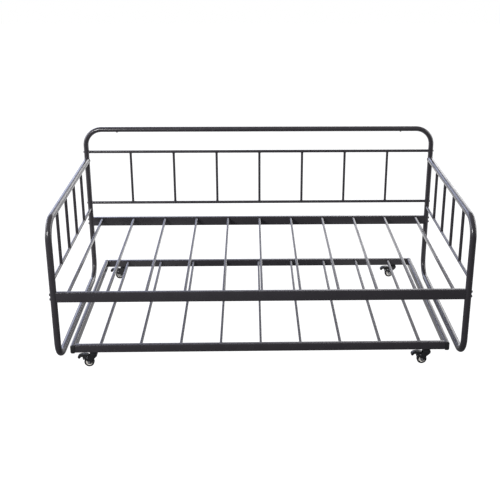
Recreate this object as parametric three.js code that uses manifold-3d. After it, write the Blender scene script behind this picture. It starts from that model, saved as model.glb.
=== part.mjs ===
// Steel daybed with a trundle that rolls out from under it. Millimetres, +Z up, +X along the
// length, +Y to the back. The origin is on the floor at the middle of the footprint.
//
// Inside the assembly, Y is counted from the axis of the front legs, and one group shifts
// everything so that the footprint is centred. The trundle and each caster are groups of their
// own. Tubes are modelled solid except where another piece plugs or screws into them.

import * as THREE from 'three';
import { mergeVertices } from 'three/addons/utils/BufferGeometryUtils.js';
import Module from 'manifold-3d';

const wasm = await Module();
wasm.setup();

// Driving dimensions of the daybed.
const endSpacing = 1957; // between the planes of the two end frames
const legToPost = 1012; // from the front-leg axis to the rear-post axis
const topZ = 897; // axis of the top rail
const armZ = 716; // axis of the arm rails
const bendRadius = 92; // axis radius of every tube bend
const loopRadius = 16; // arm rail, front leg and runner: one bent tube
const postRadius = 14.25; // rear post, foot bend, corner bend and top rail
const armEndBack = 5; // the arm rail ends this far before the post's axis, cut to fit round it
const topJointX = 784; // where the top rail meets the corner bends
const plugLength = 45; // how far one tube plugs into the next
const plugRadius = 12.5; // reduced end of the top rail
const plugClearance = 3; // a socket is this much deeper than its plug
const cutOverrun = 5; // how far a cutter runs past the face it opens

// Infill of the end frames and of the back.
const sideRailZ = 427;
const sideTubeRadius = 8;
const sideSpindleCount = 4;
const backUpperZ = 767;
const backLowerZ = 463;
const backRailRadius = 8;
const backSpindleRadius = 7;
const backSpindleCount = 7;
const backSpindlePitch = 243.4;

// Main deck.
const deckTopZ = 373;
const deckRailHeight = 50;
const deckRailWidth = 20;
const deckSlatCount = 11;
const deckSlatPitch = 182.5;
const slatWidth = 11;
const slatHeight = 18;
const slatDrop = 4; // slat top below rail top, on both decks
const deckBoltRise = 12; // the two bolts of a corner sit this far above and below mid-rail

// Trundle.
const trundleOffsetX = -6.5; // it is parked a little to the left
const trundleLength = 1809;
const trundleFrontY = -45;
const trundleRearY = 989;
const trundleTopZ = 114.5;
const trundleRailHeight = 38;
const trundleRailWidth = 22;
const trundleSideHeight = 43;
const trundleSideWidth = 23;
const trundleSlatCount = 9;
const trundleSlatPitch = 191.1;

// Casters.
const casterX = 797.5; // swivel axes, either side of the trundle's middle
const wheelRadius = 24;
const wheelWidth = 18;
const wheelTrail = 22;
const axleRadius = 3.5;
const cheekThickness = 2.5;
const cheekGap = 21; // between the inner faces of the fork's cheeks
const rivetHead = 2.5;
const leverPivot = { x: -45, z: 45 };
const crownTopZ = 74;
const crownRadius = 18;
const pinRadius = 4; // threaded stem above the flange, swivel pin below it

// Fasteners.
const boltRadius = 3;
const boltHeadRadius = 6.5;
const boltHeadHeight = 3.6;
const boltLength = 62;
const topScrewX = 800;
const topScrewRadius = 2.5;

// Fits and facets.
const gap = 0.3; // between pieces that touch or are welded
const slip = 0.35; // between pieces that plug together
const tubeSides = 12;
const rodSides = 10;
const boltSides = 8;
const wheelSides = 24;
const bendSteps = 5;

const halfSpacing = endSpacing / 2;
const runnerZ = loopRadius;
const casterReach = crownRadius - trundleFrontY - trundleRailWidth / 2;
const legY = (casterReach - legToPost - postRadius) / 2;

const finishes = {
  powderCoat: { color: 0x2b2b2e, roughness: 0.38, metalness: 0.35 },
  zinc: { color: 0xb9bcc0, roughness: 0.32, metalness: 0.9 },
  casterSteel: { color: 0x17171a, roughness: 0.34, metalness: 0.5 },
  rubber: { color: 0x1b1b1c, roughness: 0.7, metalness: 0 },
  blackPlastic: { color: 0x141415, roughness: 0.45, metalness: 0 },
};

// ---- solids ----

function solidOf(geometry) {
  const plain = geometry.clone();
  plain.deleteAttribute('normal');
  plain.deleteAttribute('uv');
  const merged = mergeVertices(plain, 1e-3);
  return new wasm.Manifold(new wasm.Mesh({
    numProp: 3,
    vertProperties: new Float32Array(merged.attributes.position.array),
    triVerts: new Uint32Array(merged.index.array),
  }));
}

function meshOf(name, solid, finish) {
  const { vertProperties, triVerts } = solid.getMesh();
  const geometry = new THREE.BufferGeometry();
  geometry.setAttribute('position', new THREE.BufferAttribute(vertProperties, 3));
  geometry.setIndex(new THREE.BufferAttribute(triVerts, 1));
  geometry.computeVertexNormals();
  const mesh = new THREE.Mesh(geometry, new THREE.MeshStandardMaterial(finishes[finish]));
  mesh.name = name;
  return mesh;
}

function joined(solids) {
  return solids.reduce((whole, next) => whole.add(next));
}

function cutBy(solid, cutters) {
  return cutters.reduce((rest, cutter) => rest.subtract(cutter), solid);
}

// ---- sections and sweeps ----

// A regular polygon whose flats, not its corners, lie at the given radius.
function roundSection(radius, sides) {
  const cornerRadius = radius / Math.cos(Math.PI / sides);
  const corners = [];
  for (let i = 0; i < sides; i += 1) {
    const angle = ((i + 0.5) * 2 * Math.PI) / sides;
    corners.push(new THREE.Vector2(Math.cos(angle), Math.sin(angle)).multiplyScalar(cornerRadius));
  }
  return new THREE.Shape(corners);
}

// A rectangle with small rounded corners, centred on the origin.
function boxSection(width, height, corner) {
  const x = width / 2;
  const y = height / 2;
  const shape = new THREE.Shape();
  shape.moveTo(-x + corner, -y);
  shape.lineTo(x - corner, -y);
  shape.absarc(x - corner, -y + corner, corner, -Math.PI / 2, 0, false);
  shape.lineTo(x, y - corner);
  shape.absarc(x - corner, y - corner, corner, 0, Math.PI / 2, false);
  shape.lineTo(-x + corner, y);
  shape.absarc(-x + corner, y - corner, corner, Math.PI / 2, Math.PI, false);
  shape.lineTo(-x, -y + corner);
  shape.absarc(-x + corner, -y + corner, corner, Math.PI, 1.5 * Math.PI, false);
  return shape;
}

// A path through given points, one step of a sweep for each, with no resampling by length.
class BentPath extends THREE.Curve {
  constructor(points) {
    super();
    this.points = points;
  }

  getPoint(t, target = new THREE.Vector3()) {
    const last = this.points.length - 1;
    const place = Math.min(Math.max(t, 0), 1) * last;
    const index = Math.min(Math.floor(place), last - 1);
    return target.lerpVectors(this.points[index], this.points[index + 1], place - index);
  }

  getUtoTmapping(u) {
    return u;
  }
}

// Straight runs between corners, with each inner corner turned into an arc.
function bentPoints(corners, radius = bendRadius) {
  const points = [corners[0]];
  for (let i = 1; i < corners.length - 1; i += 1) {
    const back = corners[i - 1].clone().sub(corners[i]).normalize();
    const ahead = corners[i + 1].clone().sub(corners[i]).normalize();
    const centre = corners[i].clone().addScaledVector(back, radius).addScaledVector(ahead, radius);
    for (let step = 0; step <= bendSteps; step += 1) {
      const angle = (step / bendSteps) * (Math.PI / 2);
      const point = centre.clone();
      point.addScaledVector(ahead, -radius * Math.cos(angle));
      point.addScaledVector(back, -radius * Math.sin(angle));
      points.push(point);
    }
  }
  points.push(corners.at(-1));
  return points;
}

function sweep(section, points) {
  const path = new BentPath(points);
  const options = { steps: points.length - 1, bevelEnabled: false, curveSegments: 2, extrudePath: path };
  return solidOf(new THREE.ExtrudeGeometry(section, options));
}

function straightTube(radius, sides, from, to) {
  return sweep(roundSection(radius, sides), [from, to]);
}

// A turned piece: [radius, height] pairs from axis to axis, standing on its axis along +Z.
function turned(profile, sides) {
  const points = profile.map(([radius, height]) => new THREE.Vector2(radius, height));
  const geometry = new THREE.LatheGeometry(points, sides);
  geometry.rotateX(Math.PI / 2);
  return solidOf(geometry);
}

// A flat plate cut to an outline in XZ, centred on Y = 0.
function plateXZ(outline, thickness, y = 0) {
  const shape = new THREE.Shape(outline.map(([x, z]) => new THREE.Vector2(x, z)));
  const geometry = new THREE.ExtrudeGeometry(shape, { depth: thickness, bevelEnabled: false });
  geometry.rotateX(Math.PI / 2);
  geometry.translate(0, y + thickness / 2, 0);
  return solidOf(geometry);
}

function bar(width, height, corner, from, to) {
  const shape = boxSection(width, height, corner);
  const length = from.distanceTo(to);
  const cornerSteps = corner > 2 ? 2 : 1;
  const options = { depth: length, bevelEnabled: false, curveSegments: cornerSteps };
  const geometry = new THREE.ExtrudeGeometry(shape, options);
  const alongX = Math.abs(to.x - from.x) > 0;
  if (alongX) {
    geometry.rotateX(Math.PI / 2).rotateZ(Math.PI / 2);
  } else {
    geometry.rotateX(Math.PI / 2).translate(0, length, 0);
  }
  geometry.translate(from.x, from.y, from.z);
  return solidOf(geometry);
}

const at = (x, y, z) => new THREE.Vector3(x, y, z);

// ---- end frames ----

function armPoints(side) {
  const x = side * halfSpacing;
  return bentPoints([
    at(x, legToPost - armEndBack, armZ),
    at(x, 0, armZ),
    at(x, 0, runnerZ),
    at(x, legToPost - bendRadius, runnerZ),
  ]);
}

function postPoints(side) {
  const x = side * halfSpacing;
  return bentPoints([
    at(x, legToPost - bendRadius - plugLength, runnerZ),
    at(x, legToPost, runnerZ),
    at(x, legToPost, topZ),
    at(side * topJointX, legToPost, topZ),
  ]);
}

// The whole loop and post again, slightly fat, for cutting the ends of what is welded to them.
function loopCutter(side) {
  return sweep(roundSection(loopRadius + gap, tubeSides), armPoints(side));
}

function postCutter(side) {
  return sweep(roundSection(postRadius + gap, tubeSides), postPoints(side));
}

// Clearance holes for the two bolts of a deck corner, through the leg or post and into the rail.
function deckBoltHoles(side, y) {
  const outside = side * (halfSpacing + 2 * loopRadius);
  const inside = side * (halfSpacing - boltLength);
  return [-1, 1].map((row) => {
    const z = deckTopZ - deckRailHeight / 2 + row * deckBoltRise;
    return straightTube(boltRadius + gap, boltSides, at(outside, y, z), at(inside, y, z));
  });
}

function armLoop(side) {
  const x = side * halfSpacing;
  const tube = sweep(roundSection(loopRadius, tubeSides), armPoints(side));
  const mouth = at(x, legToPost - bendRadius + cutOverrun, runnerZ);
  const floor = at(x, legToPost - bendRadius - plugLength - plugClearance, runnerZ);
  const socket = straightTube(postRadius + slip, tubeSides, floor, mouth);
  const saddleReach = 4 * loopRadius;
  const postSaddle = straightTube(
    postRadius + gap, tubeSides, at(x, legToPost, armZ - saddleReach), at(x, legToPost, armZ + saddleReach),
  );
  return cutBy(tube, [socket, postSaddle, ...deckBoltHoles(side, 0)]);
}

// Foot bend, post and corner bend in one tube. Its end takes the reduced end of the top rail.
function rearPost(side) {
  const tube = sweep(roundSection(postRadius, tubeSides), postPoints(side));
  const mouth = at(side * (topJointX - cutOverrun), legToPost, topZ);
  const floor = at(side * (topJointX + plugLength + plugClearance), legToPost, topZ);
  const socket = straightTube(plugRadius + slip, tubeSides, mouth, floor);
  return cutBy(tube, [socket, topScrewHole(side), ...deckBoltHoles(side, legToPost)]);
}

// Lower side rail with four spindles welded between it and the arm rail.
function sideInfill(side) {
  const x = side * halfSpacing;
  const pitch = legToPost / (sideSpindleCount + 1);
  const pieces = [straightTube(sideTubeRadius, rodSides, at(x, 0, sideRailZ), at(x, legToPost, sideRailZ))];
  for (let i = 1; i <= sideSpindleCount; i += 1) {
    pieces.push(straightTube(sideTubeRadius, rodSides, at(x, i * pitch, sideRailZ), at(x, i * pitch, armZ)));
  }
  return cutBy(joined(pieces), [loopCutter(side), postCutter(side)]);
}

// ---- back ----

function topScrewHole(side) {
  const x = side * topScrewX;
  return straightTube(
    topScrewRadius + gap, boltSides,
    at(x, legToPost, topZ - 2 * postRadius), at(x, legToPost, topZ + cutOverrun),
  );
}

function topRail() {
  const body = straightTube(
    postRadius, tubeSides, at(-topJointX + gap / 2, legToPost, topZ), at(topJointX - gap / 2, legToPost, topZ),
  );
  const reach = topJointX + plugLength;
  const core = straightTube(plugRadius, tubeSides, at(-reach, legToPost, topZ), at(reach, legToPost, topZ));
  return cutBy(body.add(core), [topScrewHole(-1), topScrewHole(1)]);
}

// Pan-head screw from below, through the corner bend's end into the plugged rail.
function topScrew(side) {
  const headTop = -postRadius - gap;
  const screw = turned([
    [0, headTop - 2.2], [3, headTop - 2.2], [4.6, headTop - 0.8], [4.6, headTop],
    [topScrewRadius, headTop], [topScrewRadius, 2], [0, 2],
  ], boltSides);
  return screw.translate([side * topScrewX, legToPost, topZ]);
}

function backPanel() {
  const rail = (z) => straightTube(
    backRailRadius, rodSides, at(-halfSpacing, legToPost, z), at(halfSpacing, legToPost, z),
  );
  const pieces = [rail(backUpperZ), rail(backLowerZ)];
  for (let i = 1; i <= backSpindleCount; i += 1) {
    const x = (i - (backSpindleCount + 1) / 2) * backSpindlePitch;
    pieces.push(straightTube(
      backSpindleRadius, rodSides, at(x, legToPost, backLowerZ), at(x, legToPost, backUpperZ),
    ));
  }
  return cutBy(joined(pieces), [postCutter(-1), postCutter(1)]);
}

// ---- main deck ----

function deckRail(y, cutters) {
  const z = deckTopZ - deckRailHeight / 2;
  const rail = bar(
    deckRailWidth, deckRailHeight, 2.5, at(-halfSpacing, y, z), at(halfSpacing, y, z),
  );
  return cutBy(rail, [...cutters, ...deckBoltHoles(-1, y), ...deckBoltHoles(1, y)]);
}

function slat(x, fromY, toY, topOfSlat) {
  const z = topOfSlat - slatHeight / 2;
  return bar(slatWidth, slatHeight, 1.5, at(x, fromY, z), at(x, toY, z));
}

function deckSlat(index) {
  const x = (index - (deckSlatCount + 1) / 2) * deckSlatPitch;
  const inset = deckRailWidth / 2 + gap;
  return slat(x, inset, legToPost - inset, deckTopZ - slatDrop);
}

// Button-head bolt, from the outside of a leg or post into the deck rail.
function deckBolt(side, y, row) {
  const tubeRadius = y === 0 ? loopRadius : postRadius;
  const seat = tubeRadius + gap;
  const bolt = turned([
    [0, seat - boltLength + tubeRadius], [boltRadius, seat - boltLength + tubeRadius], [boltRadius, seat],
    [boltHeadRadius, seat], [boltHeadRadius, seat + 0.4 * boltHeadHeight],
    [0.6 * boltHeadRadius, seat + boltHeadHeight], [0, seat + boltHeadHeight],
  ], boltSides);
  const z = deckTopZ - deckRailHeight / 2 + row * deckBoltRise;
  return bolt.rotate([0, side * 90, 0]).translate([side * halfSpacing, y, z]);
}

// ---- trundle ----

const trundleHalf = trundleLength / 2;
const sideRailInner = trundleHalf - trundleSideWidth;
const casterRailY = {
  front: trundleFrontY + trundleRailWidth / 2,
  rear: trundleRearY - trundleRailWidth / 2,
};
const stemTopZ = trundleTopZ - 8;
const railBottomZ = trundleTopZ - trundleRailHeight;

function trundleCrossRail(y) {
  const z = trundleTopZ - trundleRailHeight / 2;
  const end = sideRailInner - gap;
  const rail = bar(trundleRailWidth, trundleRailHeight, 2.5, at(-end, y, z), at(end, y, z));
  const holes = [-1, 1].map((side) => straightTube(
    pinRadius + slip, rodSides, at(side * casterX, y, trundleTopZ - 60), at(side * casterX, y, stemTopZ + 1),
  ));
  return cutBy(rail, holes);
}

function trundleSideRail(side) {
  const x = side * (trundleHalf - trundleSideWidth / 2);
  const z = trundleTopZ - trundleSideHeight / 2;
  return bar(trundleSideWidth, trundleSideHeight, 5, at(x, trundleFrontY, z), at(x, trundleRearY, z));
}

function trundleSlat(index) {
  const x = (index - (trundleSlatCount + 1) / 2) * trundleSlatPitch;
  const inset = trundleRailWidth + gap;
  return slat(x, trundleFrontY + inset, trundleRearY - inset, trundleTopZ - slatDrop);
}

// ---- casters, each about its own swivel axis with Z from the floor ----

// Threaded stem with its bearing flange. The lower end is the pin that the fork swivels on.
function casterStem() {
  return turned([
    [0, crownTopZ - 16], [pinRadius, crownTopZ - 16], [pinRadius, crownTopZ + 0.5], [15, crownTopZ + 0.5],
    [15, railBottomZ - gap], [pinRadius, railBottomZ - gap], [pinRadius, stemTopZ], [0, stemTopZ],
  ], rodSides);
}

// One side plate of the fork: bearing housing, axle boss and lever boss in one outline.
const cheekOutline = [
  [crownRadius, 72], [crownRadius, 58], [8, 48], [-1, 40], [-12, 21], [-17, 16.5], [-24, 15.5], [-29, 20],
  [-29.5, 27], [-33, 36], [-40, 39.5], [-49, 39], [-52, 44], [-50, 50], [-43, 53], [-30, 53], [-20, 60],
  [-16, 72],
];

function casterFork() {
  const inner = cheekGap / 2;
  const crown = turned([
    [0, crownTopZ - 18], [crownRadius - 2, crownTopZ - 18], [crownRadius, crownTopZ - 15],
    [crownRadius, crownTopZ], [0, crownTopZ],
  ], rodSides);
  const cheekY = inner + cheekThickness / 2;
  const cheeks = [-cheekY, cheekY].map((y) => plateXZ(cheekOutline, cheekThickness, y));
  const reach = inner + cheekThickness + rivetHead;
  const acrossAt = (x, z, radius, half) => straightTube(radius, rodSides, at(x, -half, z), at(x, half, z));
  const axle = acrossAt(-wheelTrail, wheelRadius, axleRadius, reach - 0.5);
  const heads = [-1, 1].map((way) => straightTube(
    5.5, rodSides,
    at(-wheelTrail, way * (inner + cheekThickness / 2), wheelRadius), at(-wheelTrail, way * reach, wheelRadius),
  ));
  const leverPin = acrossAt(leverPivot.x, leverPivot.z, 2, inner + cheekThickness + 1.2);
  const fork = joined([crown, ...cheeks, axle, ...heads, leverPin]);
  const pinHole = straightTube(pinRadius + gap, rodSides, at(0, 0, crownTopZ - 25), at(0, 0, crownTopZ + 10));
  return fork.subtract(pinHole);
}

function casterWheel() {
  const half = wheelWidth / 2;
  const wheel = turned([
    [axleRadius + 0.5, -half], [wheelRadius - 4, -half], [wheelRadius, -half + 4],
    [wheelRadius, half - 4], [wheelRadius - 4, half], [axleRadius + 0.5, half],
    [axleRadius + 0.5, -half],
  ], wheelSides);
  return wheel.rotate([90, 0, 0]).translate([-wheelTrail, 0, wheelRadius]);
}

// Foot pedal of the brake, bent down at its tip, turning on the pin between the cheeks.
function casterLever() {
  const outline = [
    [-23, 59], [-23, 63.5], [-34, 66], [-48, 66], [-60, 64.5], [-69, 61], [-75, 54.5], [-75.5, 47],
    [-71, 42.5], [-65, 43], [-61, 49], [-56, 52], [-52, 50], [-50.5, 44], [-47, 40.5], [-42.5, 40.5],
    [-39, 44], [-37, 49], [-33, 53], [-28, 55],
  ];
  const pedal = plateXZ(outline, wheelWidth);
  const { x, z } = leverPivot;
  const hole = straightTube(2.4, rodSides, at(x, -wheelWidth, z), at(x, wheelWidth, z));
  return pedal.subtract(hole);
}

// ---- assembly ----

const bed = new THREE.Group();
bed.position.y = legY;

const sides = { left: -1, right: 1 };
for (const [sideName, side] of Object.entries(sides)) {
  bed.add(meshOf(`arm_loop_${sideName}`, armLoop(side), 'powderCoat'));
  bed.add(meshOf(`side_infill_${sideName}`, sideInfill(side), 'powderCoat'));
  bed.add(meshOf(`rear_post_${sideName}`, rearPost(side), 'powderCoat'));
  bed.add(meshOf(`top_rail_screw_${sideName}`, topScrew(side), 'zinc'));
  for (const [depthName, y] of [['front', 0], ['rear', legToPost]]) {
    for (const [rowName, row] of [['lower', -1], ['upper', 1]]) {
      const name = `deck_bolt_${depthName}_${sideName}_${rowName}`;
      bed.add(meshOf(name, deckBolt(side, y, row), 'powderCoat'));
    }
  }
}

bed.add(meshOf('top_rail', topRail(), 'powderCoat'));
bed.add(meshOf('back_panel', backPanel(), 'powderCoat'));
bed.add(meshOf('deck_rail_front', deckRail(0, [loopCutter(-1), loopCutter(1)]), 'powderCoat'));
bed.add(meshOf('deck_rail_rear', deckRail(legToPost, [postCutter(-1), postCutter(1)]), 'powderCoat'));
for (let i = 1; i <= deckSlatCount; i += 1) {
  bed.add(meshOf(`deck_slat_${String(i).padStart(2, '0')}`, deckSlat(i), 'powderCoat'));
}

const trundle = new THREE.Group();
trundle.position.x = trundleOffsetX;
trundle.add(meshOf('trundle_rail_front', trundleCrossRail(casterRailY.front), 'powderCoat'));
trundle.add(meshOf('trundle_rail_rear', trundleCrossRail(casterRailY.rear), 'powderCoat'));
trundle.add(meshOf('trundle_rail_left', trundleSideRail(-1), 'powderCoat'));
trundle.add(meshOf('trundle_rail_right', trundleSideRail(1), 'powderCoat'));
for (let i = 1; i <= trundleSlatCount; i += 1) {
  trundle.add(meshOf(`trundle_slat_${i}`, trundleSlat(i), 'powderCoat'));
}

for (const [depthName, y] of Object.entries(casterRailY)) {
  for (const [sideName, side] of Object.entries(sides)) {
    const caster = new THREE.Group();
    caster.position.set(side * casterX, y, 0);
    const place = `${depthName}_${sideName}`;
    caster.add(meshOf(`caster_stem_${place}`, casterStem(), 'zinc'));
    caster.add(meshOf(`caster_fork_${place}`, casterFork(), 'casterSteel'));
    caster.add(meshOf(`caster_wheel_${place}`, casterWheel(), 'rubber'));
    caster.add(meshOf(`brake_lever_${place}`, casterLever(), 'blackPlastic'));
    trundle.add(caster);
  }
}
bed.add(trundle);

const model = new THREE.Group();
model.add(bed);

export default model;
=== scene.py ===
"""Steel daybed with a roll-out trundle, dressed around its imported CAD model. Metres, +Z up."""

import math

import bmesh
import bpy
from mathutils import Matrix, Vector


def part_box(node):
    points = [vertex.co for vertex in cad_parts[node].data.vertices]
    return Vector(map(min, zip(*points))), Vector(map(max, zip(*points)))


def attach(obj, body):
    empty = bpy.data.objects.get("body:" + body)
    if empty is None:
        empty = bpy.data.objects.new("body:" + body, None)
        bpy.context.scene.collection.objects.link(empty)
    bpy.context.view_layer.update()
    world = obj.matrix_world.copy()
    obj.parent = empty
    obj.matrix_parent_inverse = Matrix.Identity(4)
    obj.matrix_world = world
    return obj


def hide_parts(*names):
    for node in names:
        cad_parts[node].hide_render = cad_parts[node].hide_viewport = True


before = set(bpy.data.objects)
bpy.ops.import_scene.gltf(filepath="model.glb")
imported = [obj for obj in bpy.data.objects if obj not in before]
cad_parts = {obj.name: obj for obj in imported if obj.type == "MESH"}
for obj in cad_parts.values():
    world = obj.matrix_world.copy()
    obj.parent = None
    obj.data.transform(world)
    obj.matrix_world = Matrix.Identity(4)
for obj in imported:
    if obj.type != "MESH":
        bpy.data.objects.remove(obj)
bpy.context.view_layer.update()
MM = 0.001

# ---------------------------------------------------------------- camera
# A still camera at standing height in front of the bed, a little left of its middle, looking
# slightly down. Its distance is counted from the plane of the front legs.

loop_low, loop_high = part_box("arm_loop_left")
_, post_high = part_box("rear_post_left")
LOOP_R = 16 * MM
POST_R = 14.25 * MM
LEG_Y = loop_low.y + LOOP_R
POST_Y = post_high.y - POST_R
END_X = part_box("arm_loop_right")[1].x - LOOP_R

EYE_X = -0.0547
EYE_BACK = 3.596
EYE_Z = 2.071
TURN_RIGHT, LOOK_DOWN, LEAN_LEFT = (math.radians(angle) for angle in (1.451, 19.345, 0.188))

camera_data = bpy.data.cameras.new("camera")
camera_data.sensor_width = 36
camera_data.lens = 60.49
camera_data.shift_x = -0.0402
camera_data.shift_y = -0.0933
camera_data.clip_end = 60
camera = bpy.data.objects.new("camera", camera_data)
camera.matrix_world = (
    Matrix.Translation((EYE_X, LEG_Y - EYE_BACK, EYE_Z))
    @ Matrix.Rotation(-TURN_RIGHT, 4, "Z")
    @ Matrix.Rotation(math.pi / 2 - LOOK_DOWN, 4, "X")
    @ Matrix.Rotation(LEAN_LEFT, 4, "Z")
)
bpy.context.scene.collection.objects.link(camera)
bpy.context.scene.camera = camera
bpy.context.scene.view_settings.view_transform = "Standard"


# ---------------------------------------------------------------- studio
# A dim room with a broad bright screen hung behind the bed, brightest and coolest at its left end,
# and soft boxes in front, at both ends and overhead. The camera sees the floor an even glowing
# white;
# to every other ray it is dark grey with painted light: glowing patches behind the bed and fainter
# ones under its two ends.

def add(tree, kind, inputs=None, **settings):
    """A node with its settings, whose inputs are values or other nodes' sockets."""
    made = tree.nodes.new(kind)
    for key, value in settings.items():
        setattr(made, key, value)
    for key, value in (inputs or {}).items():
        if isinstance(value, bpy.types.NodeSocket):
            tree.links.new(value, made.inputs[key])
        else:
            made.inputs[key].default_value = value
    return made


def maths(tree, operation, *values):
    """The result of one step of arithmetic in a tree."""
    return add(tree, "ShaderNodeMath", dict(enumerate(values)), operation=operation).outputs[0]


def eased(tree, value, low, high, at_low, at_high):
    """A value that eases from at_low to at_high while another goes from low to high."""
    return add(
        tree, "ShaderNodeMapRange", {0: value, 1: low, 2: high, 3: at_low, 4: at_high},
        interpolation_type="SMOOTHSTEP",
    ).outputs[0]


WHITE = (1, 1, 1, 1)
COOL_WHITE = (0.80, 0.86, 1.12, 1)
SOFT_WHITE = (0.98, 0.98, 1.0, 1)
SCREEN_LEVEL = 1.25
LEFT_LAMP, RIGHT_LAMP, LAMP_SPILL = 1.9, 2.3, 0.25
ROOM_LEVEL = 0.26

world = bpy.data.worlds.new("studio")
bpy.context.scene.world = world
world.use_nodes = True
sky = world.node_tree
sky.nodes.clear()
facing = add(sky, "ShaderNodeTexCoord").outputs["Generated"]
axes = add(sky, "ShaderNodeSeparateXYZ", {0: facing}).outputs
behind = eased(sky, axes["Y"], -0.25, 0.45, 0.0, 1.0)
foot = eased(sky, axes["Z"], 0.02, 0.12, 0.0, 1.0)
head = eased(sky, axes["Z"], 0.36, 0.50, 1.0, 0.0)
screen = maths(sky, "MULTIPLY", behind, maths(sky, "MULTIPLY", foot, head))
left_lamp = eased(sky, axes["X"], -0.175, -0.13, LEFT_LAMP, LAMP_SPILL)
right_lamp = eased(sky, axes["X"], 0.02, 0.14, 0.0, RIGHT_LAMP)
across = maths(sky, "ADD", maths(sky, "ADD", left_lamp, right_lamp), SCREEN_LEVEL)
level = maths(sky, "MULTIPLY_ADD", screen, across, ROOM_LEVEL)
seen = add(sky, "ShaderNodeLightPath").outputs["Is Camera Ray"]
strength = add(sky, "ShaderNodeMix", {"Factor": seen, "A": level, "B": 1.0})
side_on = add(sky, "ShaderNodeMapRange", {0: axes["X"], 1: -0.12, 2: 0.12, 3: 0.0, 4: 1.0})
tint = add(
    sky, "ShaderNodeMix", {0: side_on.outputs[0], 6: COOL_WHITE, 7: SOFT_WHITE}, data_type="RGBA"
)
colour = add(sky, "ShaderNodeMix", {0: seen, 6: tint.outputs[2], 7: WHITE}, data_type="RGBA")
backdrop = add(
    sky, "ShaderNodeBackground", {"Color": colour.outputs[2], "Strength": strength.outputs[0]}
)
add(sky, "ShaderNodeOutputWorld", {"Surface": backdrop.outputs[0]})


def softbox(name, place, target, size, power):
    """An area light of that width and height, in watts, that faces a point."""
    light = bpy.data.lights.new(name, "AREA")
    light.shape = "RECTANGLE"
    light.size, light.size_y = size
    light.energy = power
    lamp = bpy.data.objects.new(name, light)
    lamp.location = place
    lamp.rotation_euler = (Vector(target) - Vector(place)).to_track_quat("-Z", "Y").to_euler()
    bpy.context.scene.collection.objects.link(lamp)
    return lamp


softbox("front_box", (-2.6, -4.0, 2.6), (-0.7, 0, 0.3), (1.3, 1.1), 185)
softbox("left_box", (-3.6, 0.2, 1.5), (0, 0, 0.5), (1.6, 2.6), 60)
softbox("right_box", (3.6, 0.2, 1.5), (0, 0, 0.5), (1.6, 2.6), 44)
top_box = softbox("top_box", (0, 0.4, 3.4), (0, 0, 0), (3.6, 2.2), 60)
top_box.visible_glossy = False

FLOOR_HALF = 12.0
# Glow levels of the painted light on the floor, behind the bed and under its ends.
REAR_GLOW_LEVEL = 1.3
WING_LEVEL = 0.4
floor_mesh = bpy.data.meshes.new("studio_floor")
floor_mesh.from_pydata(
    [(x * FLOOR_HALF, y * FLOOR_HALF, 0) for x, y in ((-1, -1), (1, -1), (1, 1), (-1, 1))],
    [], [(0, 1, 2, 3)],
)
floor = bpy.data.objects.new("studio_floor", floor_mesh)
bpy.context.scene.collection.objects.link(floor)
floor_paint = bpy.data.materials.new("studio_floor")
floor_paint.use_nodes = True
paint = floor_paint.node_tree
paint.nodes.clear()
matt = add(paint, "ShaderNodeBsdfDiffuse", {"Color": (0.13, 0.13, 0.135, 1)})
glow = add(paint, "ShaderNodeEmission", {"Color": WHITE, "Strength": 1.0})
lit = add(paint, "ShaderNodeAddShader", {0: matt.outputs[0], 1: glow.outputs[0]})
floor_place = add(paint, "ShaderNodeTexCoord").outputs["Object"]
spot = add(paint, "ShaderNodeSeparateXYZ", {0: floor_place}).outputs
# Painted light: the floor's own colour is one dark grey everywhere, and these masks make patches of
# it glow behind the bed and under its ends, standing in for lit white paper.
rear_floor_glow = eased(paint, spot["Y"], 0.3, 0.9, 0.0, REAR_GLOW_LEVEL)
wing = eased(paint, maths(paint, "ABSOLUTE", spot["X"]), 0.3, 0.6, 0.0, WING_LEVEL)
under_bed = eased(paint, spot["Y"], -0.5, -0.25, 0.0, 1.0)
floor_glow_patches = maths(paint, "MAXIMUM", rear_floor_glow, maths(paint, "MULTIPLY", wing, under_bed))
sheen = add(paint, "ShaderNodeEmission", {"Color": WHITE, "Strength": floor_glow_patches})
unseen = add(paint, "ShaderNodeAddShader", {0: matt.outputs[0], 1: sheen.outputs[0]})
looked_at = add(paint, "ShaderNodeLightPath").outputs["Is Camera Ray"]
shown = add(
    paint, "ShaderNodeMixShader", {0: looked_at, 1: unseen.outputs[0], 2: lit.outputs[0]}
)
add(paint, "ShaderNodeOutputMaterial", {"Surface": shown.outputs[0]})
floor_mesh.materials.append(floor_paint)


# ---------------------------------------------------------------- powder coat
# Every tube and box rail is sprayed and baked in one charcoal powder coat: semi-gloss, with a fine
# orange-peel skin and a slight unevenness in its colour and gloss.

def shader_group(name, inputs, outputs):
    """An empty shader group with named float inputs and outputs, and its two end nodes."""
    tree = bpy.data.node_groups.new(name, "ShaderNodeTree")
    for label, value in inputs.items():
        socket = tree.interface.new_socket(label, in_out="INPUT", socket_type="NodeSocketFloat")
        socket.default_value = value
    for label in outputs:
        tree.interface.new_socket(label, in_out="OUTPUT", socket_type="NodeSocketFloat")
    return tree, tree.nodes.new("NodeGroupInput"), tree.nodes.new("NodeGroupOutput")


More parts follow.
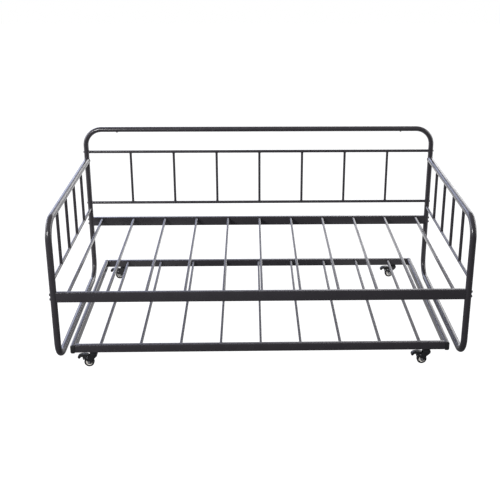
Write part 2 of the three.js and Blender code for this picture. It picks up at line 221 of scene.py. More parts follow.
# Skin height and cloudy unevenness for anything sprayed, baked or moulded, sizes in millimetres.
skin, skin_in, skin_out = shader_group(
    "moulded_skin", {"Grain size": 1.0, "Cloud size": 60.0}, ("Height", "Cloud")
)
skin_place = add(skin, "ShaderNodeTexCoord").outputs["Object"]
PER_METRE = 1000.0
grain = add(
    skin, "ShaderNodeTexNoise",
    {"Vector": skin_place,
     "Scale": maths(skin, "DIVIDE", PER_METRE, skin_in.outputs["Grain size"]),
     "Detail": 2.0, "Roughness": 0.45},
)
cloud = add(
    skin, "ShaderNodeTexNoise",
    {"Vector": skin_place,
     "Scale": maths(skin, "DIVIDE", PER_METRE, skin_in.outputs["Cloud size"]),
     "Detail": 3.0, "Roughness": 0.55},
)
skin.links.new(grain.outputs[0], skin_out.inputs["Height"])
skin.links.new(cloud.outputs[0], skin_out.inputs["Cloud"])


SKIN_DEPTH = 0.2 * MM
COAT_ROUGHNESS = 0.12


def skinned(name, base, shade, rough, peel, grain_size, coat=0.0, metal=0.0):
    """A Principled material whose colour, gloss and relief vary with the shared skin group."""
    material = bpy.data.materials.new(name)
    material.use_nodes = True
    tree = material.node_tree
    tree.nodes.clear()
    surface = add(tree, "ShaderNodeGroup", {}, node_tree=skin)
    surface.inputs["Grain size"].default_value = grain_size
    body = add(
        tree, "ShaderNodeMix",
        {0: surface.outputs["Cloud"], 6: (*base, 1), 7: (*shade, 1)}, data_type="RGBA",
    )
    low, high = rough
    gloss = add(
        tree, "ShaderNodeMapRange",
        {0: surface.outputs["Cloud"], 1: 0.3, 2: 0.7, 3: low, 4: high},
    )
    relief = add(
        tree, "ShaderNodeBump",
        {"Height": surface.outputs["Height"], "Strength": peel, "Distance": SKIN_DEPTH},
    )
    shader = add(
        tree, "ShaderNodeBsdfPrincipled",
        {"Base Color": body.outputs[2], "Roughness": gloss.outputs[0],
         "Normal": relief.outputs[0], "Metallic": metal, "Coat Weight": coat,
         "Coat Roughness": COAT_ROUGHNESS},
    )
    add(tree, "ShaderNodeOutputMaterial", {"Surface": shader.outputs[0]})
    return material


powder_coat = skinned(
    "charcoal_powder_coat", (0.030, 0.027, 0.031), (0.038, 0.035, 0.039), (0.22, 0.30),
    peel=0.07, grain_size=0.9,
)


# ---------------------------------------------------------------- end frames
# Each end is one 32 mm tube bent into arm rail, front leg and floor runner, and a 28.5 mm tube
# bent into foot, rear post and top corner. The foot plugs into the runner; the arm is welded to
# the post.

def geometry_tree(name, sockets):
    """A Geometry Nodes tree with named inputs. Returns the tree, its input node and a closer."""
    tree = bpy.data.node_groups.new(name, "GeometryNodeTree")
    kinds = {"float": "NodeSocketFloat", "int": "NodeSocketInt", "material": "NodeSocketMaterial",
             "object": "NodeSocketObject"}
    tree.interface.new_socket("Geometry", in_out="INPUT", socket_type="NodeSocketGeometry")
    for label, kind in sockets.items():
        tree.interface.new_socket(label, in_out="INPUT", socket_type=kinds[kind])
    tree.interface.new_socket("Geometry", in_out="OUTPUT", socket_type="NodeSocketGeometry")
    start = tree.nodes.new("NodeGroupInput")

    def close(geometry):
        real = add(tree, "GeometryNodeRealizeInstances", {"Geometry": geometry})
        smooth = add(tree, "GeometryNodeSetShadeSmooth", {"Geometry": real.outputs[0]})
        done = add(
            tree, "GeometryNodeSetMaterial",
            {"Geometry": smooth.outputs[0], "Material": start.outputs["Finish"]},
        )
        add(tree, "NodeGroupOutput", {0: done.outputs[0]})

    return tree, start, close


def plain_object(name, data):
    """A linked object at the origin."""
    made = bpy.data.objects.new(name, data)
    bpy.context.scene.collection.objects.link(made)
    return made


def grown(name, data, tree, values):
    """Runs a tree once on some data and keeps only the plain mesh that comes out."""
    seed = plain_object(name + "_seed", data)
    modifier = seed.modifiers.new("grow", "NODES")
    modifier.node_group = tree
    for item in tree.interface.items_tree:
        if item.in_out == "INPUT" and item.name in values:
            modifier[item.identifier] = values[item.name]
    bpy.context.view_layer.update()
    shape = seed.evaluated_get(bpy.context.evaluated_depsgraph_get())
    mesh = bpy.data.meshes.new_from_object(shape)
    bpy.data.objects.remove(seed)
    mesh.name = name
    return plain_object(name, mesh)


def line_data(name, points):
    """A curve of straight pieces through the points."""
    data = bpy.data.curves.new(name, "CURVE")
    data.dimensions = "3D"
    spline = data.splines.new("POLY")
    spline.points.add(len(points) - 1)
    for slot, point in zip(spline.points, points):
        slot.co = (*point, 1)
    return data


BEND_R = 92 * MM
BEND_STEPS = 14


def bent_line(corners):
    """Straight runs with each inner corner turned into a quarter bend."""
    corners = [Vector(c) for c in corners]
    points = [corners[0]]
    for before, corner, after in zip(corners, corners[1:], corners[2:]):
        back, ahead = (before - corner).normalized(), (after - corner).normalized()
        centre = corner + BEND_R * (back + ahead)
        for step in range(BEND_STEPS + 1):
            angle = math.pi / 2 * step / BEND_STEPS
            points.append(centre - BEND_R * (ahead * math.cos(angle) + back * math.sin(angle)))
    return [*points, corners[-1]]


tube_tree, start, close = geometry_tree(
    "drawn_tube", {"Radius": "float", "Sides": "int", "Finish": "material"}
)
ring = add(
    tube_tree, "GeometryNodeCurvePrimitiveCircle",
    {"Resolution": start.outputs["Sides"], "Radius": start.outputs["Radius"]},
)
tube = add(
    tube_tree, "GeometryNodeCurveToMesh",
    {"Curve": start.outputs["Geometry"], "Profile Curve": ring.outputs[0], "Fill Caps": True},
)
close(tube.outputs[0])


def joined(name, parts):
    """Several objects made one piece."""
    mesh = bpy.data.meshes.new(name)
    whole = bmesh.new()
    for part in parts:
        whole.from_mesh(part.data)
    whole.to_mesh(mesh)
    whole.free()
    for material in parts[0].data.materials:
        mesh.materials.append(material)
    for part in parts:
        bpy.data.objects.remove(part)
    return plain_object(name, mesh)


STOUT_SIDES = 32
THIN_SIDES = 24


def tube_piece(name, points, radius, sides=STOUT_SIDES):
    """A powder-coated round tube drawn along a line."""
    return grown(
        name, line_data(name, points), tube_tree,
        {"Radius": radius, "Sides": sides, "Finish": powder_coat},
    )


ARM_Z = loop_high.z - LOOP_R
RUNNER_Z = LOOP_R
TOP_Z = post_high.z - POST_R
JOINT_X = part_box("rear_post_right")[0].x
PLUG = 40 * MM
SIDES = {"left": -1, "right": 1}

for side_name, side in SIDES.items():
    x = side * END_X
    loop = tube_piece(
        f"end_loop_{side_name}",
        bent_line([
            (x, POST_Y, ARM_Z), (x, LEG_Y, ARM_Z), (x, LEG_Y, RUNNER_Z),
            (x, POST_Y - BEND_R, RUNNER_Z),
        ]),
        LOOP_R,
    )
    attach(loop, "daybed")
    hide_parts(f"arm_loop_{side_name}")
    post = tube_piece(
        f"post_tube_{side_name}",
        bent_line([
            (x, POST_Y - BEND_R - PLUG, RUNNER_Z), (x, POST_Y, RUNNER_Z), (x, POST_Y, TOP_Z),
            (side * JOINT_X, POST_Y, TOP_Z),
        ]),
        POST_R,
    )
    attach(post, "daybed")
    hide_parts(f"rear_post_{side_name}")


# ---------------------------------------------------------------- side spindles
# Under each arm, a thin lower rail runs from leg to post, with four upright spindles welded
# between it and the arm. The tubes end inside their neighbours, as they would under a weld.

SIDE_R = 8 * MM
SIDE_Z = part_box("side_infill_left")[0].z + SIDE_R
SPINDLES = 4
spindle_ys = [LEG_Y + (POST_Y - LEG_Y) * k / (SPINDLES + 1) for k in range(1, SPINDLES + 1)]

for side_name, side in SIDES.items():
    x = side * END_X
    lines = [[(x, LEG_Y, SIDE_Z), (x, POST_Y, SIDE_Z)]]
    lines += [[(x, y, SIDE_Z), (x, y, ARM_Z)] for y in spindle_ys]
    parts = [tube_piece("side_tube", line, SIDE_R, THIN_SIDES) for line in lines]
    infill = joined(f"side_spindles_{side_name}", parts)
    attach(infill, "daybed")
    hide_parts(f"side_infill_{side_name}")


# ---------------------------------------------------------------- back
# The top rail plugs into both corner bends. Below it a welded panel of two thin rails and seven
# spindles is screwed between the posts.

rail_tube = tube_piece("top_tube", [(-JOINT_X, POST_Y, TOP_Z), (JOINT_X, POST_Y, TOP_Z)], POST_R)
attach(rail_tube, "daybed")
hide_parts("top_rail")

BACK_R = 8 * MM
BACK_SPINDLE_R = 7 * MM
BACK_SPINDLES = 7
BACK_PITCH = 243.4 * MM
panel_low, panel_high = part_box("back_panel")
back_zs = [panel_low.z + BACK_R, panel_high.z - BACK_R]
back_xs = [BACK_PITCH * (k - (BACK_SPINDLES + 1) / 2) for k in range(1, BACK_SPINDLES + 1)]
rails = [[(-END_X, POST_Y, z), (END_X, POST_Y, z)] for z in back_zs]
spindles = [[(x, POST_Y, z) for z in back_zs] for x in back_xs]
parts = [tube_piece("back_rail", line, BACK_R, THIN_SIDES) for line in rails]
parts += [tube_piece("spindle", line, BACK_SPINDLE_R, THIN_SIDES) for line in spindles]
panel = joined("back_spindles", parts)
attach(panel, "daybed")
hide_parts("back_panel")


# ---------------------------------------------------------------- weld beads
# Every tube joint has a low ripple of weld round it, under the powder coat. A bead follows the
# saddle where a thin tube meets the round wall of a thicker one.

weld_tree, start, close = geometry_tree(
    "saddle_weld",
    {"Branch radius": "float", "Tube radius": "float", "Bead radius": "float",
     "Finish": "material"},
)
SADDLE_STEPS = 48
BEAD_SIDES = 8
RIPPLES = 14
RIPPLE_DEPTH = 0.12
path = add(
    weld_tree, "GeometryNodeCurvePrimitiveCircle",
    {"Resolution": SADDLE_STEPS, "Radius": start.outputs["Branch radius"]},
)
bead_place = add(weld_tree, "GeometryNodeInputPosition").outputs[0]
aside = add(weld_tree, "ShaderNodeSeparateXYZ", {0: bead_place}).outputs["Y"]
aside_squared = maths(weld_tree, "MULTIPLY", aside, aside)
tube_radius = start.outputs["Tube radius"]
tube_squared = maths(weld_tree, "MULTIPLY", tube_radius, tube_radius)
remainder = maths(weld_tree, "SUBTRACT", tube_squared, aside_squared)
rise = maths(weld_tree, "SQRT", maths(weld_tree, "MAXIMUM", remainder, 0.0))
drop = add(weld_tree, "ShaderNodeCombineXYZ", {"Z": maths(weld_tree, "MULTIPLY", rise, -1.0)})
saddle = add(
    weld_tree, "GeometryNodeSetPosition",
    {"Geometry": path.outputs[0], "Offset": drop.outputs[0]},
)
along = add(weld_tree, "GeometryNodeSplineParameter").outputs["Factor"]
wave = maths(weld_tree, "SINE", maths(weld_tree, "MULTIPLY", along, 2 * math.pi * RIPPLES))
swell = maths(weld_tree, "MULTIPLY_ADD", wave, RIPPLE_DEPTH, 1.0)
rippled = add(
    weld_tree, "GeometryNodeSetCurveRadius", {"Curve": saddle.outputs[0], "Radius": swell}
)
bead_ring = add(
    weld_tree, "GeometryNodeCurvePrimitiveCircle",
    {"Resolution": BEAD_SIDES, "Radius": start.outputs["Bead radius"]},
)
bead = add(
    weld_tree, "GeometryNodeCurveToMesh",
    {"Curve": rippled.outputs[0], "Profile Curve": bead_ring.outputs[0]},
)


def stored_turn(tree):
    """The rotation kept on each point."""
    turn = add(
        tree, "GeometryNodeInputNamedAttribute", {"Name": "turn"}, data_type="FLOAT_VECTOR"
    )
    return add(tree, "FunctionNodeEulerToRotation", {0: turn.outputs[0]}).outputs[0]


copies = add(
    weld_tree, "GeometryNodeInstanceOnPoints",
    {"Points": start.outputs["Geometry"], "Instance": bead.outputs[0],
     "Rotation": stored_turn(weld_tree)},
)
close(copies.outputs[0])


def placed_points(name, places):
    """Loose points with a turn each, for a tree that puts something on them."""
    mesh = bpy.data.meshes.new(name)
    mesh.from_pydata([tuple(point) for point, _ in places], [], [])
    turns = mesh.attributes.new("turn", "FLOAT_VECTOR", "POINT")
    for slot, (_, turned) in zip(turns.data, places):
        slot.vector = turned
    return mesh


# Turns for a bead round a branch that comes from below, above, the front or the back.
QUARTER = math.pi / 2
FROM_BELOW_ALONG_Y = (0, 0, QUARTER)
FROM_ABOVE_ALONG_Y = (math.pi, 0, QUARTER)
FROM_BELOW_ALONG_X = (0, 0, 0)
FROM_ABOVE_ALONG_X = (math.pi, 0, 0)
FROM_FRONT = (0, QUARTER, QUARTER)
FROM_BACK = (0, QUARTER, -QUARTER)

arm_places = []
side_places = []
rail_leg_places = []
rail_post_places = []
arm_end_places = []
for side in SIDES.values():
    x = side * END_X
    arm_places += [((x, y, ARM_Z), FROM_BELOW_ALONG_Y) for y in spindle_ys]
    side_places += [((x, y, SIDE_Z), FROM_ABOVE_ALONG_Y) for y in spindle_ys]
    rail_leg_places.append(((x, LEG_Y, SIDE_Z), FROM_BACK))
    rail_post_places.append(((x, POST_Y, SIDE_Z), FROM_FRONT))
    arm_end_places.append(((x, POST_Y, ARM_Z), FROM_FRONT))
back_downs, back_ups = (
    [((x, POST_Y, z), turned) for x in back_xs]
    for z, turned in zip(back_zs, (FROM_ABOVE_ALONG_X, FROM_BELOW_ALONG_X))
)
THIN_BEAD = 1.5 * MM
ARM_BEAD = 2.0 * MM
WELD_SETS = (
    ("arm_spindle", arm_places, SIDE_R, LOOP_R, THIN_BEAD),
    ("side_spindle", side_places, SIDE_R, SIDE_R, THIN_BEAD),
    ("back_upper", back_ups, BACK_SPINDLE_R, BACK_R, THIN_BEAD),
    ("back_lower", back_downs, BACK_SPINDLE_R, BACK_R, THIN_BEAD),
    ("side_rail_leg", rail_leg_places, SIDE_R, LOOP_R, THIN_BEAD),
    ("side_rail_post", rail_post_places, SIDE_R, POST_R, THIN_BEAD),
    ("arm_end", arm_end_places, LOOP_R, POST_R, ARM_BEAD),
)
welds = []
for label, places, branch_r, tube_r, bead_r in WELD_SETS:
    welds.append(grown(
        f"weld_{label}", placed_points(f"weld_{label}", places), weld_tree,
        {"Branch radius": branch_r, "Tube radius": tube_r, "Bead radius": bead_r,
         "Finish": powder_coat},
    ))
weld_beads = joined("frame_weld_beads", welds)
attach(weld_beads, "daybed")


# ---------------------------------------------------------------- deck rails
# The front and rear rails of the deck are 20 x 50 mm box tube with rolled corners. Each end is cut
# round to sit against the leg or post, and two bolts pull it tight.

def rounded_box_outline(width, height, corner, steps):
    """Points round a rectangle with quarter-round corners, in its own plane."""
    points = []
    for quarter, (sx, sy) in enumerate(((1, 1), (-1, 1), (-1, -1), (1, -1))):
        centre = (sx * (width / 2 - corner), sy * (height / 2 - corner))
        for step in range(steps + 1):
            angle = (quarter + step / steps) * QUARTER
            points.append((
                centre[0] + corner * math.cos(angle), centre[1] + corner * math.sin(angle),
            ))
    return points


SHARP_FROM = math.radians(35)


def smooth_by_angle(mesh):
    """Smooth shading, with every edge bent past SHARP_FROM kept sharp."""
    whole = bmesh.new()
    whole.from_mesh(mesh)
    for face in whole.faces:
        face.smooth = True
    for edge in whole.edges:
        if len(edge.link_faces) == 2 and edge.calc_face_angle() > SHARP_FROM:
            edge.smooth = False
    whole.to_mesh(mesh)
    whole.free()


def lofted(name, rings, finish, looped=False):
    """A skin over rings of equal point counts, capped at both ends or closed on itself."""
    count = len(rings[0])
    vertices = [point for ring_points in rings for point in ring_points]
    faces = []
    spans = len(rings) if looped else len(rings) - 1
    for row in range(spans):
        here, there = row * count, ((row + 1) % len(rings)) * count
        for i in range(count):
            j = (i + 1) % count
            faces.append((here + i, here + j, there + j, there + i))
    if not looped:
        faces.append(tuple(reversed(range(count))))
        faces.append(tuple(range((len(rings) - 1) * count, len(rings) * count)))
    mesh = bpy.data.meshes.new(name)
    mesh.from_pydata([tuple(v) for v in vertices], [], faces)
    whole = bmesh.new()
    whole.from_mesh(mesh)
    bmesh.ops.recalc_face_normals(whole, faces=whole.faces)
    whole.to_mesh(mesh)
    whole.free()
    smooth_by_angle(mesh)
    mesh.materials.append(finish)
    return plain_object(name, mesh)


BOX_CORNER = 1.8 * MM
BOX_CORNER_STEPS = 5


def cross_tube(name, low, high, cut_radius=0.0):
    """A box tube along X that fills a CAD box, with its ends square or cut round the uprights."""
    width, height = high.y - low.y, high.z - low.z
    y, z = (low.y + high.y) / 2, (low.z + high.z) / 2
    outline = rounded_box_outline(width, height, BOX_CORNER, BOX_CORNER_STEPS)
    rings = []
    for way in (-1, 1):
        ring_points = []
        for dy, dz in outline:
            if cut_radius:
                end = way * (END_X - math.sqrt(cut_radius**2 - dy**2))
            else:
                end = low.x if way < 0 else high.x
            ring_points.append(Vector((end, y + dy, z + dz)))
        rings.append(ring_points)
    return lofted(name, rings, powder_coat)


for end_name, upright_r in (("front", LOOP_R), ("rear", POST_R)):
    low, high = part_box(f"deck_rail_{end_name}")
    rail = cross_tube(f"deck_beam_{end_name}", low, high, upright_r)
    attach(rail, "daybed")
    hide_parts(f"deck_rail_{end_name}")


# ---------------------------------------------------------------- slats
# Both decks have plain 11 x 18 mm box slats from the front rail to the rear one, evenly spaced and
# set 4 mm below the rails' top, with a small weld round each end.

SLAT_CORNER_STEPS = 4
SLAT_BEAD = 1.3 * MM
slat_tree, start, close = geometry_tree(
    "welded_slats",
    {"Count": "int", "Pitch": "float", "Width": "float", "Height": "float", "Corner": "float",
     "Length": "float", "Bead radius": "float", "Finish": "material"},
)
outline = add(
    slat_tree, "GeometryNodeCurvePrimitiveQuadrilateral",
    {"Width": start.outputs["Width"], "Height": start.outputs["Height"]},
)
outline = add(
    slat_tree, "GeometryNodeFilletCurve",
    {"Curve": outline.outputs[0], "Radius": start.outputs["Corner"], "Count": SLAT_CORNER_STEPS},
    mode="POLY",
)
far_end = add(slat_tree, "ShaderNodeCombineXYZ", {"Y": start.outputs["Length"]})
run = add(slat_tree, "GeometryNodeCurvePrimitiveLine", {"End": far_end.outputs[0]})
slat = add(
    slat_tree, "GeometryNodeCurveToMesh",
    {"Curve": run.outputs[0], "Profile Curve": outline.outputs[0], "Fill Caps": True},
)
bead_ring = add(
    slat_tree, "GeometryNodeCurvePrimitiveCircle",
    {"Resolution": BEAD_SIDES, "Radius": start.outputs["Bead radius"]},
)
end_bead = add(
    slat_tree, "GeometryNodeCurveToMesh",
    {"Curve": outline.outputs[0], "Profile Curve": bead_ring.outputs[0]},
)
near_bead = add(
    slat_tree, "GeometryNodeTransform",
    {"Geometry": end_bead.outputs[0], "Rotation": (QUARTER, 0, 0)},
)
far_bead = add(
    slat_tree, "GeometryNodeTransform",
    {"Geometry": near_bead.outputs[0], "Translation": far_end.outputs[0]},
)
one = add(slat_tree, "GeometryNodeJoinGeometry")
for part in (slat, near_bead, far_bead):
    slat_tree.links.new(part.outputs[0], one.inputs[0])
step_aside = add(slat_tree, "ShaderNodeCombineXYZ", {"X": start.outputs["Pitch"]})
row = add(
    slat_tree, "GeometryNodeMeshLine",
    {"Count": start.outputs["Count"], "Offset": step_aside.outputs[0]},
)
copies = add(
    slat_tree, "GeometryNodeInstanceOnPoints",
    {"Points": row.outputs[0], "Instance": one.outputs[0]},
)
close(copies.outputs[0])


def slat_row(name, nodes):
    """All the slats of one deck as one mesh, set out from the CAD slats' boxes."""
    boxes = [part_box(node) for node in nodes]
    (first_low, first_high), (last_low, _) = boxes[0], boxes[-1]
    count = len(nodes)
    size = first_high - first_low
    made = grown(
        name, bpy.data.meshes.new(name), slat_tree,
        {"Count": count, "Pitch": (last_low.x - first_low.x) / (count - 1), "Width": size.x,
         "Height": size.z, "Corner": BOX_CORNER, "Length": size.y, "Bead radius": SLAT_BEAD,
         "Finish": powder_coat},
    )
    middle = (first_low + first_high) / 2
    made.data.transform(Matrix.Translation((middle.x, first_low.y, middle.z)))
    return made


deck_nodes = [f"deck_slat_{n:02d}" for n in range(1, 12)]
deck_slats = slat_row("deck_slats", deck_nodes)
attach(deck_slats, "daybed")
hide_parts(*deck_nodes)

trundle_nodes = [f"trundle_slat_{n}" for n in range(1, 10)]
trundle_slats = slat_row("trundle_slats", trundle_nodes)
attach(trundle_slats, "trundle")
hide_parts(*trundle_nodes)


# ---------------------------------------------------------------- bolts and screws
# Button-head bolts with a hex socket hold the deck rails, two at each corner. Small cross-head
# screws pin the top rail from below and the back panel's rails through the posts.

CROSS_SHARPNESS = 6
CROSS_WAIST = 0.34


def socket_radius(kind, size, angle):
    """How far the wall of a round, hexagonal or cross-shaped ring is from its middle."""
    if kind == "hex":
        return size / math.cos((angle % (math.pi / 3)) - math.pi / 6)
    if kind == "cross":
        lobe = abs(math.cos(2 * angle)) ** CROSS_SHARPNESS
        return size * (CROSS_WAIST + (1 - CROSS_WAIST) * lobe)
    return size


def ringed(name, profile, sides, finish):
    """A turned piece along +Z from steps of (kind, radius, height), in millimetres."""
    rings = []
    for kind, size, height in profile:
        ring_points = []
        for i in range(sides):
            angle = 2 * math.pi * i / sides
            radius = socket_radius(kind, size, angle)
            point = Vector((radius * math.cos(angle), radius * math.sin(angle), height))
            ring_points.append(point * MM)
        rings.append(ring_points)
    return lofted(name, rings, finish)


zinc = skinned(
    "bright_zinc", (0.50, 0.51, 0.53), (0.62, 0.62, 0.62), (0.24, 0.36),
    peel=0.10, grain_size=0.5, metal=1.0,
)
# Fastener sizes are in millimetres.
HEAD_R = 6.5
HEAD_H = 3.6
bolt_profile = [
    ("round", 3, -6), ("round", 3, 0), ("round", HEAD_R - 0.3, 0), ("round", HEAD_R, 0.4),
    ("round", HEAD_R, 1.1), ("round", 6.1, 2.0), ("round", 5.3, 2.9), ("round", 4.2, HEAD_H),
    ("round", 2.9, HEAD_H), ("hex", 2.3, HEAD_H - 0.2), ("hex", 2.2, 1.3), ("hex", 0.4, 0.9),
]
screw_profile = [
    ("round", 2.2, -5), ("round", 2.2, 0), ("round", 5.4, 0), ("round", 5.6, 0.6),
    ("round", 5.0, 2.0), ("round", 3.8, 2.9), ("cross", 2.9, 2.95), ("cross", 2.4, 1.6),
    ("cross", 0.7, 1.2),
]

fastener_tree, start, close = geometry_tree(
    "fasteners", {"Fastener": "object", "Finish": "material"}
)
pattern = add(fastener_tree, "GeometryNodeObjectInfo", {"Object": start.outputs["Fastener"]})
copies = add(
    fastener_tree, "GeometryNodeInstanceOnPoints",
    {"Points": start.outputs["Geometry"], "Instance": pattern.outputs["Geometry"],
     "Rotation": stored_turn(fastener_tree)},
)
close(copies.outputs[0])

HEAD_SIDES = 36


def fastened(name, profile, places):
    """One mesh of the same powder-coated fastener at every place."""
    head = ringed(name + "_pattern", profile, HEAD_SIDES, powder_coat)
    made = grown(
        name, placed_points(name, places), fastener_tree,
        {"Fastener": head, "Finish": powder_coat},
    )
    bpy.data.objects.remove(head)
    smooth_by_angle(made.data)
    return made


bolt_places = []
bolt_nodes = []
for side_name, side in SIDES.items():
    for end_name in ("front", "rear"):
        for row_name in ("lower", "upper"):
            node = f"deck_bolt_{end_name}_{side_name}_{row_name}"
            low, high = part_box(node)
            face = high.x - HEAD_H * MM if side > 0 else low.x + HEAD_H * MM
            bolt_nodes.append(node)
            bolt_places.append((
                (face, (low.y + high.y) / 2, (low.z + high.z) / 2), (0, side * QUARTER, 0),
            ))
bolts = fastened("deck_bolts", bolt_profile, bolt_places)
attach(bolts, "daybed")
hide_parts(*bolt_nodes)

screw_places = []
for side_name, side in SIDES.items():
    low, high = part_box(f"top_rail_screw_{side_name}")
    screw_places.append((((low.x + high.x) / 2, POST_Y, TOP_Z - POST_R), (math.pi, 0, 0)))
    for z in back_zs:
        screw_places.append(((side * (END_X + POST_R), POST_Y, z), (0, side * QUARTER, 0)))
screws = fastened("frame_screws", screw_profile, screw_places)
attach(screws, "daybed")
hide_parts("top_rail_screw_left", "top_rail_screw_right")


# ---------------------------------------------------------------- trundle frame
# Two taller side rails run the full depth and are closed by black plastic caps; the front and rear
# rails are welded between them, flush on top.

plastic = skinned(
    "black_moulded_plastic", (0.012, 0.012, 0.013), (0.018, 0.018, 0.019), (0.34, 0.46),
    peel=0.25, grain_size=0.7,
)

for end_name in ("front", "rear"):
    low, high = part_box(f"trundle_rail_{end_name}")
    rail = cross_tube(f"trundle_beam_{end_name}", low, high)
    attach(rail, "trundle")
    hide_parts(f"trundle_rail_{end_name}")

CAP_DEPTH = 4 * MM
SIDE_CORNER = 7.5 * MM
SIDE_CORNER_STEPS = 6
# How far each ring of an end cap is set in, in millimetres, and how much it grows or shrinks.
CAP_STEPS = (
    (0.0, -0.16), (0.5, -0.07), (1.2, -0.02), (2.2, 0.0), (3.9, 0.0), (4.0, -0.12), (9.0, -0.14),
)


def ring_at(outline, x, y, z, grow_x=0.0, grow_z=0.0):
    """An outline standing across Y at a place, grown or shrunk by shares of its size."""
    return [Vector((x + dx + grow_x * dx, y, z + dz + grow_z * dz)) for dx, dz in outline]


for side_name in SIDES:
    low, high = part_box(f"trundle_rail_{side_name}")
    size = high - low
    x, z = (low.x + high.x) / 2, (low.z + high.z) / 2
    outline = rounded_box_outline(size.x, size.z, SIDE_CORNER, SIDE_CORNER_STEPS)
    rail = lofted(
        f"trundle_side_{side_name}",
        [ring_at(outline, x, y, z) for y in (low.y + CAP_DEPTH, high.y - CAP_DEPTH)],
        powder_coat,
    )
    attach(rail, "trundle")
    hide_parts(f"trundle_rail_{side_name}")
    for end_name, face_y, way in (("front", low.y, 1), ("rear", high.y, -1)):
        rings = [
            ring_at(
                outline, x, face_y + way * inward * MM, z, growth, growth * size.x / size.z,
            )
            for inward, growth in CAP_STEPS
        ]
        cap = lofted(f"rail_cap_{end_name}_{side_name}", rings, plastic)
        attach(cap, "trundle")


# ---------------------------------------------------------------- casters
# Four small braked casters are screwed up into the front and rear rails by their threaded stems. A
# pressed black housing with two cheeks carries the wheel to one side of the swivel axis, and a
# plastic foot pedal turns on a pin between the cheeks.

caster_paint = skinned(
    "gloss_black_caster", (0.010, 0.010, 0.011), (0.014, 0.014, 0.015), (0.16, 0.28),
    peel=0.15, grain_size=1.2, coat=0.3,
)
tread = skinned(
    "tyre_tread", (0.007, 0.007, 0.007), (0.011, 0.011, 0.011), (0.50, 0.64),
    peel=0.35, grain_size=0.6,
)
nylon = skinned(
    "cream_nylon", (0.88, 0.84, 0.75), (0.92, 0.89, 0.82), (0.32, 0.42),
    peel=0.15, grain_size=1.5,
)

# Caster sizes are in millimetres, with X from the swivel axis and Z from the floor. The wheel and
# the pedal point along -X.
WHEEL_R = 24
WHEEL_HALF = 9
WHEEL_SIDES = 64
TRAIL = 22
CHEEK_IN = 10.5
CHEEK_OUT = 13
PIVOT = (-45, 45)
SPRING_PIN = (-30, 49.4)
MAX_REACH = 0.45
CURVE_STEPS = 4


def rounded_outline(corners, radius):
    """A closed outline whose corners are turned into short curves."""
    points = []
    count = len(corners)
    for i in range(count):
        before, corner, after = (Vector(corners[(i + k) % count]) for k in (-1, 0, 1))
        back, ahead = before - corner, after - corner
        reach = min(radius, back.length * MAX_REACH, ahead.length * MAX_REACH)
        enter, leave = corner + back.normalized() * reach, corner + ahead.normalized() * reach
        for step in range(CURVE_STEPS + 1):
            t = step / CURVE_STEPS
            points.append((1 - t) ** 2 * enter + 2 * t * (1 - t) * corner + t**2 * leave)
    return points


SOFTEN_FROM = math.radians(40)


def pressed_plate(name, corners, radius, y_from, y_to, edge, finish):
    """A plate across Y with a rounded outline and softened edges."""
    outline = rounded_outline(corners, radius)
    rings = [[Vector((p.x, y, p.y)) * MM for p in outline] for y in (y_from, y_to)]
    plate = lofted(name, rings, finish)
    soften = plate.modifiers.new("soften", "BEVEL")
    soften.width = edge * MM
    soften.segments = 2
    soften.limit_method = "ANGLE"
    soften.angle_limit = SOFTEN_FROM
    return baked(plate)


def baked(made):
    """The same object with its modifiers applied."""
    shape = made.evaluated_get(bpy.context.evaluated_depsgraph_get())
    mesh = bpy.data.meshes.new_from_object(shape)
    name = made.name
    bpy.data.objects.remove(made)
    mesh.name = name
    smooth_by_angle(mesh)
    return plain_object(name, mesh)


def turned_ring(name, profile, finish):
    """A ring turned about the Y axis from a closed profile of (radius, y) points."""
    rings = []
    for radius, y in profile:
        ring_points = []
        for i in range(WHEEL_SIDES):
            angle = 2 * math.pi * i / WHEEL_SIDES
            point = Vector((radius * math.cos(angle), y, radius * math.sin(angle)))
            ring_points.append(point * MM)
        rings.append(ring_points)
    return lofted(name, rings, finish, looped=True)


def shifted(made, x, y, z):
    """Moves a piece inside its mesh, in metres."""
    made.data.transform(Matrix.Translation((x, y, z)))
    return made


def through_cheeks(name, profile, sides, x, z):
    """A turned zinc pin laid across the cheeks."""
    made = ringed(name, profile, sides, zinc)
    made.data.transform(Matrix.Rotation(-QUARTER, 4, "X"))
    return shifted(made, x * MM, 0, z * MM)


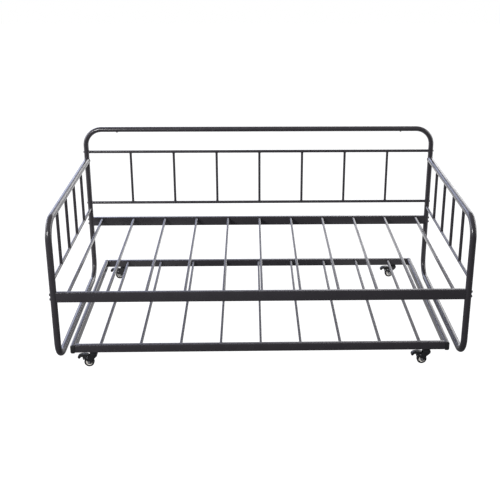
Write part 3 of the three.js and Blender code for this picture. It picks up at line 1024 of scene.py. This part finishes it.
def caster_patterns():
    """One of each piece of a caster, about its swivel axis."""
    cheek = [
        (18, 72), (18, 58), (8, 48), (-1, 40), (-12, 21), (-17, 16.5), (-24, 15.5), (-29, 20),
        (-29.5, 27), (-33, 36), (-40, 39.5), (-49, 39), (-52, 44), (-50, 50), (-43, 53), (-30, 53),
        (-20, 60), (-16, 72),
    ]
    rib = [
        (10, 66), (10, 57), (2, 48), (-9, 33), (-14, 28), (-20, 32), (-18, 45), (-10, 60), (-8, 66),
    ]
    cup = [
        ("round", 6, 54), ("round", 14.5, 54.5), ("round", 16.6, 55.6), ("round", 17.4, 57.5),
        ("round", 17.5, 62), ("round", 18, 63), ("round", 18, 69.5), ("round", 17.3, 71.8),
        ("round", 15.2, 73.4), ("round", 11, 73.8), ("round", 5, 73.8),
    ]
    fork_parts = []
    for way in (-1, 1):
        inner, outer = sorted((way * CHEEK_IN, way * CHEEK_OUT))
        fork_parts.append(pressed_plate("cheek", cheek, 4, inner, outer, 0.6, caster_paint))
        inner, outer = sorted((way * (CHEEK_OUT - 0.5), way * (CHEEK_OUT + 1.0)))
        fork_parts.append(pressed_plate("rib", rib, 5, inner, outer, 0.8, caster_paint))
    fork_parts.append(ringed("cup", cup, 40, caster_paint))

    axle = [
        ("round", 3, -CHEEK_OUT - 2.4), ("round", 4.6, -CHEEK_OUT - 2.3),
        ("round", 5.4, -CHEEK_OUT - 1.4), ("round", 5.5, -CHEEK_OUT), ("round", 3.5, -CHEEK_OUT),
        ("round", 3.5, CHEEK_OUT), ("hex", 4.8, CHEEK_OUT), ("hex", 5.0, CHEEK_OUT + 0.4),
        ("hex", 4.9, CHEEK_OUT + 2.0), ("round", 4.0, CHEEK_OUT + 2.5),
        ("round", 2.2, CHEEK_OUT + 2.5),
    ]
    pin = [
        ("round", 1.6, -CHEEK_OUT - 1.2), ("round", 3.0, -CHEEK_OUT - 0.9),
        ("round", 3.2, -CHEEK_OUT), ("round", 2.0, -CHEEK_OUT), ("round", 2.0, CHEEK_OUT),
        ("round", 3.2, CHEEK_OUT), ("round", 3.0, CHEEK_OUT + 0.9),
        ("round", 1.6, CHEEK_OUT + 1.2),
    ]
    pins = [through_cheeks("axle", axle, 36, -TRAIL, WHEEL_R)]
    pins += [through_cheeks("pin", pin, 28, *place) for place in (PIVOT, SPRING_PIN)]

    stem = [
        ("round", 3, 60), ("round", 4, 60.5), ("round", 4, 74.4), ("round", 14, 74.4),
        ("round", 15, 74.8), ("round", 15, 76), ("round", 14.4, 76.4), ("round", 4, 76.4),
        ("round", 4, 92),
    ]

    tyre = [
        (14.6, -8.0), (18.0, -8.9), (21.2, -8.9), (22.8, -8.2), (23.8, -6.4), (WHEEL_R, -3.5),
        (WHEEL_R, 3.5), (23.8, 6.4), (22.8, 8.2), (21.2, 8.9), (18.0, 8.9), (14.6, 8.0),
    ]
    hub = [
        (4.0, -WHEEL_HALF), (6.6, -WHEEL_HALF), (7.4, -8.3), (7.8, -6.9), (9.6, -6.8),
        (12.6, -7.0), (13.6, -7.8), (14.8, -8.2), (14.8, 8.2), (13.6, 7.8), (12.6, 7.0),
        (9.6, 6.8), (7.8, 6.9), (7.4, 8.3), (6.6, WHEEL_HALF), (4.0, WHEEL_HALF),
    ]
    tyre_ring = turned_ring("tyre", tyre, tread)
    hub_ring = turned_ring("hub", hub, nylon)
    for made in (tyre_ring, hub_ring):
        shifted(made, -TRAIL * MM, 0, WHEEL_R * MM)

    pedal = [
        (-23, 59), (-23, 63.5), (-34, 66), (-48, 66), (-60, 64.5), (-69, 61), (-75, 54.5),
        (-75.5, 47), (-71, 42.5), (-65, 43), (-61, 49), (-56, 52), (-52, 50), (-50.5, 44),
        (-47, 40.5), (-42.5, 40.5), (-39, 44), (-37, 49), (-33, 53), (-28, 55),
    ]
    return {
        "fork": joined("fork", fork_parts),
        "pins": joined("pins", pins),
        "stem": ringed("flange", stem, 36, caster_paint),
        "tyre": tyre_ring,
        "hub": hub_ring,
        "lever": pressed_plate("lever", pedal, 3, -WHEEL_HALF, WHEEL_HALF, 0.8, plastic),
    }


patterns = caster_patterns()
CASTER_PARTS = (
    ("stem", "caster_flange", "trundle", "caster_stem", "caster_steel"),
    ("fork", "caster_housing", "caster", "caster_fork", "caster_steel"),
    ("pins", "caster_pins", "caster", None, "zinc"),
    ("tyre", "caster_tyre", "wheel", "caster_wheel", "rubber"),
    ("hub", "caster_hub", "wheel", None, "hub_plastic"),
    ("lever", "brake_pedal", "brake", "brake_lever", "black_plastic"),
)
for end_name in ("front", "rear"):
    for side_name in SIDES:
        place = f"{end_name}_{side_name}"
        low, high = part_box(f"caster_stem_{place}")
        axis = (low + high) / 2
        for part, label, body, node, slot_name in CASTER_PARTS:
            made = plain_object(f"{label}_{place}", patterns[part].data.copy())
            shifted(made, axis.x, axis.y, 0)
            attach(made, body if body == "trundle" else f"{body}_{place}")
            if node:
                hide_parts(f"{node}_{place}")
for pattern_piece in patterns.values():
    bpy.data.objects.remove(pattern_piece)
